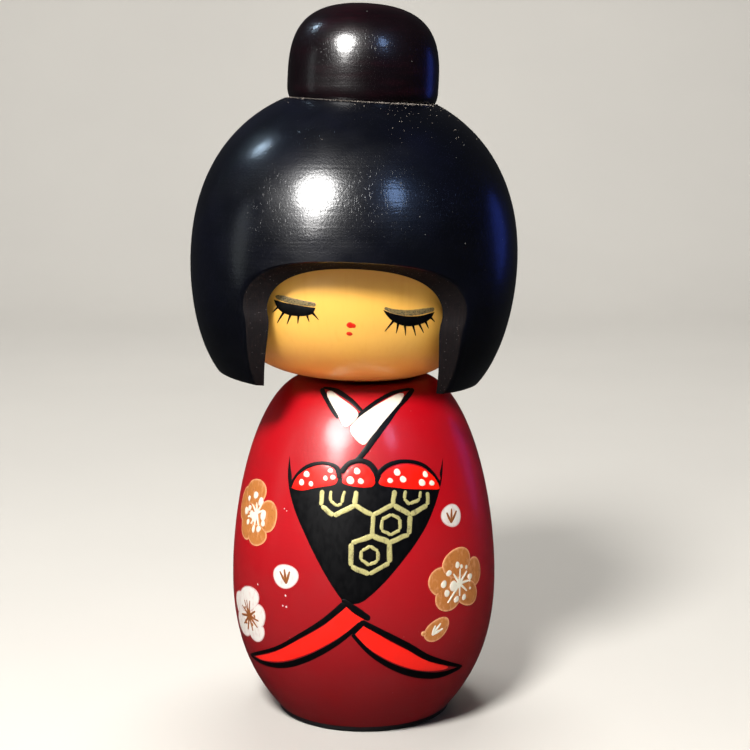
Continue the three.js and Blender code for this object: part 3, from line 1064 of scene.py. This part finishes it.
BRUSH_SLIP = (26.2, 28.3, 0.75)  # degrees, height, radius
PAINT_DRIPS = ((-34.0, 37.3, 0.28), (-35.4, 34.6, 0.25), (-33.6, 34.5, 0.3),
               (-37.5, 58.3, 0.2), (-36.0, 57.9, 0.16), (-50.5, 38.2, 0.22))


def make_seam_dust(material):
    """Old glue and crumbs of dust in the groove under the topknot and just below it."""
    rng = random.Random(23)
    bm = bmesh.new()
    glue = [(radius, CAP_SEAT[1] + rise) for radius, rise in GLUE_LINE]
    lathe(bm, [*glue, glue[0]], KNOT_SIDES)
    bmesh.ops.remove_doubles(bm, verts=bm.verts, dist=1e-4)
    for k in range(DUST_COUNT):
        angle = math.radians(rng.gauss(DUST_BEARING, DUST_SPREAD if k % 4 else STRAY_SPREAD))
        size = rng.uniform(*DUST_SIZES)
        if k % 3:
            radius = KNOT_FOOT[0] + rng.uniform(0.0, GROOVE_WIDTH)
            height = CAP_SEAT[1] + size * 0.4
        else:
            height = CAP_SEAT[1] - rng.uniform(0, 1) ** 2 * DUST_REACH
            radius = ON_HAIR.section(height)[0] + size * 0.2
            size *= 0.6
        place = at_angle(radius, angle, height)
        turn = Matrix.Rotation(rng.uniform(0, math.pi), 4, Vector((rng.random(), rng.random(), 1)))
        shape = Matrix.Diagonal((size, size * rng.uniform(0.4, 1), size * rng.uniform(0.5, 1), 1))
        bmesh.ops.create_icosphere(bm, subdivisions=1, radius=1,
                                   matrix=Matrix.Translation(place) @ turn @ shape)
    dust = to_object("seam_dust", bm, head_frame(), [material], CRUMB_SHARP)
    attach(dust, "head")


def make_stray_marks(paints):
    """A slip of the tan brush beside a petal, and drips of pale paint under another."""
    rng = random.Random(7)
    slips, drips = new_paint(), new_paint()
    degrees, height, radius = BRUSH_SLIP
    dab(slips, ON_BODY, ON_BODY.from_angle(degrees, height), radius, DAB, rng)
    for degrees, height, radius in PAINT_DRIPS:
        dab(drips, ON_BODY, ON_BODY.from_angle(degrees, height), radius, GROUND, rng)
    painted("brush_slip", slips, ON_BODY, paints["tan"], "body")
    painted("paint_drips", drips, ON_BODY, paints["white"], "body")


# ---------------------------------------------------------------- materials


def colour(red, green, blue):
    """A display colour, 0 to 255, as the linear colour that the shaders take."""
    def linear(level):
        level /= 255
        return level / 12.92 if level <= 0.04045 else ((level + 0.055) / 1.055) ** 2.4
    return (linear(red), linear(green), linear(blue), 1.0)


class Finish:
    """A material built from nodes. Its patterns are in millimetres, along the head's axis."""

    def __init__(self, name, tone, roughness, coat=0.0, coat_roughness=0.1, specular=0.5):
        self.material = bpy.data.materials.new(name)
        self.material.use_nodes = True
        self.nodes = self.material.node_tree.nodes
        self.links = self.material.node_tree.links
        self.shader = self.nodes["Principled BSDF"]
        self.shader.inputs["Roughness"].default_value = roughness
        self.shader.inputs["Specular IOR Level"].default_value = specular
        self.shader.inputs["Coat Weight"].default_value = coat
        self.shader.inputs["Coat Roughness"].default_value = coat_roughness
        self.tone = self.constant(tone)
        self.rough = None
        self.height = None
        where = self.nodes.new("ShaderNodeTexCoord").outputs["Object"]
        scaled = self.nodes.new("ShaderNodeVectorMath")
        scaled.operation = "SCALE"
        scaled.inputs["Scale"].default_value = 1 / MM
        self.links.new(where, scaled.inputs[0])
        self.place = scaled.outputs[0]
        self.base_roughness = roughness

    def constant(self, value):
        node = self.nodes.new("ShaderNodeRGB")
        node.outputs[0].default_value = value
        return node.outputs[0]

    def stretched(self, scale):
        """The place, scaled differently along each axis."""
        node = self.nodes.new("ShaderNodeVectorMath")
        node.operation = "MULTIPLY"
        node.inputs[1].default_value = scale
        self.links.new(self.place, node.inputs[0])
        return node.outputs[0]

    def noise(self, scale, detail=3.0, roughness=0.55):
        """Soft noise from 0 to 1. scale is features per millimetre along X, Y and Z."""
        node = self.nodes.new("ShaderNodeTexNoise")
        node.inputs["Scale"].default_value = 1.0
        node.inputs["Detail"].default_value = detail
        node.inputs["Roughness"].default_value = roughness
        self.links.new(self.stretched(scale), node.inputs["Vector"])
        return node.outputs["Fac"]

    def cells(self, scale):
        """Distance to the nearest of scattered points."""
        node = self.nodes.new("ShaderNodeTexVoronoi")
        node.inputs["Scale"].default_value = 1.0
        self.links.new(self.stretched((scale,) * 3), node.inputs["Vector"])
        return node.outputs["Distance"]

    def between(self, value, low, high, out_low=0.0, out_high=1.0):
        """Maps low..high to out_low..out_high, smoothly and held at the ends."""
        node = self.nodes.new("ShaderNodeMapRange")
        node.interpolation_type = "SMOOTHSTEP"
        limits = {"From Min": low, "From Max": high, "To Min": out_low, "To Max": out_high}
        for socket, number in limits.items():
            node.inputs[socket].default_value = number
        self.links.new(value, node.inputs["Value"])
        return node.outputs["Result"]

    def calculate(self, operation, first, second):
        node = self.nodes.new("ShaderNodeMath")
        node.operation = operation
        for socket, value in zip(node.inputs, (first, second)):
            if isinstance(value, (int, float)):
                socket.default_value = value
            else:
                self.links.new(value, socket)
        return node.outputs[0]

    def tint(self, share, tone):
        """Mixes a colour in where share is above 0."""
        node = self.nodes.new("ShaderNodeMix")
        node.data_type = "RGBA"
        self.links.new(share, node.inputs["Factor"])
        self.links.new(self.tone, node.inputs[6])
        node.inputs[7].default_value = tone
        self.tone = node.outputs[2]

    def blotch(self, scale, low, high, share, tone, detail=3.0):
        """Mixes a colour in by up to share, in soft patches where noise passes low."""
        self.tint(self.between(self.noise(scale, detail), low, high, 0, share), tone)

    def roughen(self, amount):
        """Adds a value to the roughness."""
        base = self.base_roughness if self.rough is None else self.rough
        self.rough = self.calculate("ADD", base, amount)

    def emboss(self, height, amount):
        """Adds a pattern to the relief, amount millimetres high."""
        relief = self.calculate("MULTIPLY", height, amount)
        self.height = relief if self.height is None else self.calculate("ADD", self.height, relief)

    def inward(self):
        """How far a point of paint lies from its brush mark's edge, up to 1 mm."""
        node = self.nodes.new("ShaderNodeAttribute")
        node.attribute_name = "inward"
        return node.outputs["Fac"]

    def along(self, axis, origin):
        """Height in millimetres along an axis from an origin in the row frame."""
        dot = self.nodes.new("ShaderNodeVectorMath")
        dot.operation = "DOT_PRODUCT"
        dot.inputs[1].default_value = axis
        self.links.new(self.place, dot.inputs[0])
        return self.calculate("SUBTRACT", dot.outputs["Value"], Vector(axis).dot(origin) / MM)

    def finished(self):
        self.links.new(self.tone, self.shader.inputs["Base Color"])
        if self.rough is not None:
            self.links.new(self.rough, self.shader.inputs["Roughness"])
        if self.height is not None:
            bump = self.nodes.new("ShaderNodeBump")
            bump.inputs["Strength"].default_value = 1.0
            bump.inputs["Distance"].default_value = MM
            self.links.new(self.height, bump.inputs["Height"])
            self.links.new(bump.outputs["Normal"], self.shader.inputs["Normal"])
            self.links.new(bump.outputs["Normal"], self.shader.inputs["Coat Normal"])
        return self.material


def lacquer_wear(finish, fleck, waves, scratches):
    """The marks that any lacquer here has: turning rings, orange peel, scratches and dust."""
    finish.emboss(finish.noise((0.02, 0.02, 1.1)), waves)
    finish.emboss(finish.noise((1.9, 1.9, 1.9), detail=3), waves)
    scratch = finish.between(finish.noise((5, 0.25, 0.9), detail=1), 0.66, 0.72)
    finish.emboss(scratch, -scratches)
    finish.roughen(finish.between(finish.noise((0.06, 0.06, 0.1)), 0.35, 0.75, -0.04, 0.08))
    dust = finish.between(finish.cells(0.36), 0.055, 0.03)
    dust = finish.calculate("MULTIPLY", dust, finish.between(finish.noise((0.07, 0.07, 0.07)), 0.5, 0.62))
    finish.tint(finish.calculate("MULTIPLY", dust, fleck), colour(190, 190, 185))
    finish.emboss(dust, 0.03 * fleck)


def red_lacquer():
    """Crimson lacquer, with painted shade: a deeper crimson towards the foot."""
    finish = Finish("red_lacquer_paint", colour(180, 5, 20), 0.42, 0.2, 0.14, specular=0.22)
    finish.blotch((0.03, 0.03, 0.05), 0.35, 0.7, 0.4, colour(160, 4, 18))
    finish.blotch((0.05, 0.05, 2.2), 0.55, 0.8, 0.25, colour(194, 12, 24))
    height = finish.along((0, 0, 1), Vector((0, 0, 0)))
    # painted shade: the crimson darkens from 60 mm down to the foot
    finish.tint(finish.between(height, 60, 4, 0, 0.8), colour(98, 1, 9))
    lacquer_wear(finish, 0.2, 0.02, 0.006)
    return finish.finished()


def black_lacquer(name, tone, *clouds):
    """Deep black lacquer. clouds are what Finish.blotch takes."""
    finish = Finish(name, tone, 0.32, 0.3, 0.07, specular=0.2)
    finish.blotch(*clouds)
    lacquer_wear(finish, 0.45, 0.03, 0.01)
    return finish.finished()


def hair_lacquer():
    return black_lacquer("black_lacquer_hair", colour(4, 5, 11),
                         (0.04, 0.04, 0.05), 0.4, 0.75, 0.7, colour(8, 10, 24))


def topknot_lacquer():
    return black_lacquer("black_lacquer_topknot", colour(10, 3, 6),
                         (0.06, 0.06, 0.3), 0.45, 0.75, 0.8, colour(24, 4, 10))


def foot_band_painted_shade():
    # painted shade: the foot band is near-black, where the body's underside falls into shade
    finish = Finish("black_foot_band", colour(14, 12, 14), 0.45)
    finish.blotch((0.7, 0.7, 0.7), 0.5, 0.8, 0.5, colour(46, 34, 30))
    finish.emboss(finish.noise((1, 1, 1)), 0.03)
    return finish.finished()


def face_lacquer():
    """Pale wood under clear lacquer, with a blush low on the cheeks that is partly airbrushed and partly
    painted shade and painted reflection of the red body, painted shade at the chin, and a painted shadow of
    the fringe across the forehead.
    """
    finish = Finish("face_lacquer_skin", colour(242, 184, 84), 0.36, 0.15, 0.16, specular=0.3)
    grain = finish.noise((0.9, 0.9, 0.05), detail=5)
    finish.tint(finish.between(grain, 0.45, 0.75, 0, 0.25), colour(232, 166, 68))
    height = finish.along(HEAD_AXIS, HEAD_ORIGIN)
    uneven = finish.calculate("MULTIPLY", finish.noise((0.05, 0.05, 0.1)), 5.0)
    low = finish.calculate("ADD", height, uneven)
    # partly airbrushed blush, partly painted shade and painted reflection of the red body below, on the
    # lower face
    finish.tint(finish.between(low, 18, 5, 0, 0.85), colour(212, 122, 54))
    # painted shade: darker still at the chin, where the face turns under
    finish.tint(finish.between(low, 8, 1, 0, 0.7), colour(160, 76, 44))
    # painted shadow of the hair's fringe across the top of the forehead
    finish.tint(finish.between(low, 25.5, 32, 0, 0.55), colour(176, 112, 62))
    finish.emboss(grain, 0.008)
    finish.emboss(finish.noise((0.05, 0.05, 1.2)), 0.008)
    finish.roughen(finish.between(finish.noise((0.1, 0.1, 0.1)), 0.3, 0.7, -0.03, 0.08))
    return finish.finished()


def sawn_wood():
    """The sawn faces of the cap, thinly painted, with the grain running up and down."""
    finish = Finish("sawn_wood_painted", colour(17, 11, 13), 0.7, specular=0.12)
    grain = finish.noise((1.6, 1.6, 0.09), detail=6, roughness=0.65)
    finish.tint(finish.between(grain, 0.45, 0.75, 0, 0.7), colour(34, 22, 20))
    finish.blotch((1.4, 1.4, 0.3), 0.6, 0.8, 0.8, colour(18, 14, 17))
    speck = finish.between(finish.cells(1.1), 0.12, 0.05)
    finish.tint(finish.calculate("MULTIPLY", speck, 0.5), colour(150, 140, 140))
    finish.emboss(grain, 0.12)
    finish.emboss(finish.noise((0.3, 0.3, 2.5)), 0.05)
    return finish.finished()


def hollow_paint():
    finish = Finish("hollow_paint_black", colour(20, 17, 20), 0.6)
    finish.blotch((0.2, 0.2, 1.5), 0.5, 0.8, 0.6, colour(44, 34, 32))
    finish.emboss(finish.noise((0.1, 0.1, 1.4)), 0.05)
    return finish.finished()


def bare_wood():
    finish = Finish("bare_wood_dowel", colour(214, 182, 134), 0.75)
    grain = finish.noise((1.8, 1.8, 0.08), detail=6)
    finish.tint(finish.between(grain, 0.45, 0.7, 0, 0.7), colour(176, 136, 88))
    finish.emboss(grain, 0.06)
    return finish.finished()


def dust_grey():
    finish = Finish("seam_dust_grey", colour(132, 124, 116), 0.9, specular=0.2)
    finish.tint(finish.between(finish.noise((3, 3, 3)), 0.4, 0.7), colour(70, 62, 60))
    finish.emboss(finish.noise((6, 6, 6)), 0.03)
    return finish.finished()


def brushed_paint(name, tone, thin, roughness=0.36, coat=0.12, mottle=0.3, reach=0.3, ridge=0.018,
                  gloss=0.22):
    """Hand-brushed paint: thin at its edges, streaky, with slight ridges."""
    finish = Finish(name, tone, roughness, coat, 0.16, specular=gloss)
    streaks = finish.noise((0.9, 0.9, 0.5), detail=4)
    finish.tint(finish.between(streaks, 0.48, 0.78, 0, mottle), thin)
    finish.tint(finish.between(finish.inward(), reach, 0.0, 0, 0.8), thin)
    finish.emboss(streaks, ridge)
    finish.emboss(finish.noise((2.5, 2.5, 2.5), detail=2), ridge / 2)
    finish.roughen(finish.between(streaks, 0.3, 0.7, -0.04, 0.08))
    return finish


def tan_petal_paint():
    finish = brushed_paint("paint_tan_petal", colour(190, 118, 56), colour(240, 178, 130),
                           0.42, 0.1, 0.4, 0.6)
    finish.blotch((0.8, 0.8, 0.8), 0.52, 0.7, 0.5, colour(156, 88, 34), detail=5)
    return finish.finished()


def gold_paint():
    finish = brushed_paint("paint_gold", colour(184, 176, 116), colour(112, 104, 74), 0.5, 0.0, 0.9, 0.34)
    finish.shader.inputs["Metallic"].default_value = 0.25
    glint = finish.between(finish.cells(2.4), 0.25, 0.1)
    finish.tint(finish.calculate("MULTIPLY", glint, 0.6), colour(244, 236, 176))
    finish.emboss(finish.noise((3, 3, 3), detail=4), 0.05)
    return finish.finished()


def eyeshadow_paint():
    finish = brushed_paint("paint_eyeshadow", colour(122, 106, 68), colour(190, 150, 84), 0.5, 0.0, 0.4, 0.3)
    finish.blotch((2.5, 2.5, 2.5), 0.48, 0.62, 0.85, colour(66, 60, 48), detail=4)
    return finish.finished()


def make_paints():
    black = brushed_paint("paint_black", colour(4, 4, 6), colour(8, 5, 7), 0.42, 0.0,
                          ridge=0.0008, gloss=0.1)
    scarlet = brushed_paint("paint_scarlet", colour(246, 22, 2), colour(232, 16, 6), ridge=0.008)
    cream = brushed_paint("paint_cream", colour(236, 232, 216), colour(222, 204, 190))
    white = brushed_paint("paint_white", colour(226, 221, 216), colour(200, 150, 152),
                          mottle=0.45, reach=0.42)
    bronze = brushed_paint("paint_bronze", colour(138, 78, 36), colour(182, 118, 66))
    vermilion = brushed_paint("paint_vermilion", colour(212, 26, 5), colour(224, 74, 26))
    return {
        "black": black.finished(), "scarlet": scarlet.finished(), "cream": cream.finished(),
        "white": white.finished(), "bronze": bronze.finished(), "vermilion": vermilion.finished(),
        "tan": tan_petal_paint(), "gold": gold_paint(), "eyeshadow": eyeshadow_paint(),
    }


# ---------------------------------------------------------------- floor, lights and camera

FLOOR_HALF = 1.6
SWEEP_START = 0.75  # where the floor turns up into the backdrop
SWEEP_RADIUS = 0.35
SWEEP_STEPS = 16
BACKDROP_HEIGHT = 1.7
MIDDLE = Vector((0, 0, 0.1))

# Azimuth is to the viewer's right of the camera, seen from the doll; sizes are in metres.
# Each lamp shines on MIDDLE, at a distance. The last word says whether it only lights the
# doll ("diffuse") or is only mirrored in the lacquer ("glossy").
LAMPS = (
    ("key", -21, 44, 0.62, (0.15, 0.15), 6.4, (1.0, 0.98, 0.95), "diffuse"),
    ("key_window", -31, 38, 0.62, (0.3, 0.27), 13.0, (1.0, 0.99, 0.97), "glossy"),
    ("key_skirt", -29, 27, 0.7, (0.18, 0.26), 3.0, (1.0, 0.98, 0.96), "glossy"),
    ("left_fill", -75, 30, 0.9, (0.5, 0.5), 0.9, (1.0, 0.97, 0.94), "diffuse"),
    ("left_panel", -84, 8, 0.9, (0.2, 0.5), 0.28, (0.9, 1.0, 1.0), "glossy"),
    ("right_panel", 121, 4, 0.9, (0.26, 0.38), 0.3, (0.07, 0.14, 1.0), "glossy"),
    ("small_right", 33, 36, 0.9, (0.16, 0.24), 2.0, (0.35, 0.55, 1.0), "glossy"),
    ("small_left", -113, 43, 0.9, (0.09, 0.15), 1.1, (0.6, 0.8, 1.0), "glossy"),
)
WALL_WASH = {"place": Vector((0, 0.25, 1.3)), "aim": Vector((0, 1.1, 0.35)), "size": 0.5, "power": 14.0}
WORLD_LIGHT = 0.026

CAMERA_PLACE = (0.0029, -0.44, 0.16)
CAMERA_TIP = math.radians(9.4)
CAMERA_LENS = 84


def make_floor():
    """A pale floor that sweeps up into a backdrop."""
    profile = [(-FLOOR_HALF, 0.0), (SWEEP_START, 0.0)]
    for k in range(1, SWEEP_STEPS + 1):
        turn = k / SWEEP_STEPS * math.pi / 2
        profile.append((SWEEP_START + SWEEP_RADIUS * math.sin(turn), SWEEP_RADIUS * (1 - math.cos(turn))))
    profile.append((SWEEP_START + SWEEP_RADIUS, BACKDROP_HEIGHT))
    bm = bmesh.new()
    rows = [[bm.verts.new((x, y, z)) for y, z in profile] for x in (-FLOOR_HALF, FLOOR_HALF)]
    grid_faces(bm, rows)
    finish = Finish("studio_floor", colour(208, 205, 199), 0.7, specular=0.2)
    finish.blotch((0.004, 0.004, 0.004), 0.3, 0.7, 0.3, colour(196, 193, 188))
    floor = to_object("studio_floor", bm, Matrix.Identity(4), [finish.finished()])
    floor.visible_glossy = False  # in the photograph the lacquer mirrors a dark wooden table


def area_lamp(name, place, aim, size, power, tone, reach):
    light = bpy.data.lights.new(name, "AREA")
    light.shape = "ELLIPSE"
    light.size, light.size_y = size
    light.energy = power
    light.color = tone
    lamp = bpy.data.objects.new(name, light)
    lamp.location = place
    lamp.rotation_euler = (aim - place).to_track_quat("-Z", "Y").to_euler()
    lamp.visible_diffuse = reach == "diffuse"
    lamp.visible_glossy = reach == "glossy"
    bpy.context.scene.collection.objects.link(lamp)


def make_lamps():
    for name, azimuth, elevation, distance, size, power, tone, reach in LAMPS:
        turn, rise = math.radians(azimuth), math.radians(elevation)
        away = Vector((math.sin(turn) * math.cos(rise), -math.cos(turn) * math.cos(rise), math.sin(rise)))
        area_lamp(name, MIDDLE + away * distance, MIDDLE, size, power, tone, reach)
    area_lamp("wall_wash", WALL_WASH["place"], WALL_WASH["aim"], (WALL_WASH["size"],) * 2,
              WALL_WASH["power"], (1.0, 0.99, 0.97), "diffuse")
    world = bpy.data.worlds.new("studio")
    world.use_nodes = True
    background = world.node_tree.nodes["Background"]
    background.inputs["Color"].default_value = (0.95, 0.97, 1.0, 1.0)
    background.inputs["Strength"].default_value = WORLD_LIGHT
    bpy.context.scene.world = world


def make_camera():
    """A phone held in front of the doll and tipped down a little."""
    data = bpy.data.cameras.new("camera")
    data.sensor_width = 36
    data.lens = CAMERA_LENS
    camera = bpy.data.objects.new("camera", data)
    camera.location = CAMERA_PLACE
    camera.rotation_euler = (math.radians(90) - CAMERA_TIP, 0, 0)
    bpy.context.scene.collection.objects.link(camera)
    bpy.context.scene.camera = camera


# ---------------------------------------------------------------- the whole scene


def stand_for(piece, node, body):
    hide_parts(node)
    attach(piece, body)


def give_material(node, material):
    mesh = frame["nodes"][node].data
    mesh.materials.clear()
    mesh.materials.append(material)


make_camera()
make_floor()
make_lamps()
bpy.context.scene.view_settings.view_transform = "Standard"

stand_for(make_body(red_lacquer(), foot_band_painted_shade()), "body", "body")
stand_for(make_head(face_lacquer()), "head", "head")
stand_for(make_hair(hair_lacquer(), sawn_wood(), hollow_paint()), "hair_cap", "head")
stand_for(make_topknot(topknot_lacquer()), "topknot", "head")
wood = bare_wood()
give_material("neck_dowel", wood)
give_material("crown_dowel", wood)
make_seam_dust(dust_grey())

paints = make_paints()
make_collar(paints)
make_obi(paints)
make_scarf(paints)
make_hem(paints)
for flower_name, flower in FLOWERS.items():
    make_flower(flower_name, flower, paints)
for petal_name, petal in PETALS.items():
    make_petal(petal_name, petal, paints)
make_stray_marks(paints)
make_face(paints)
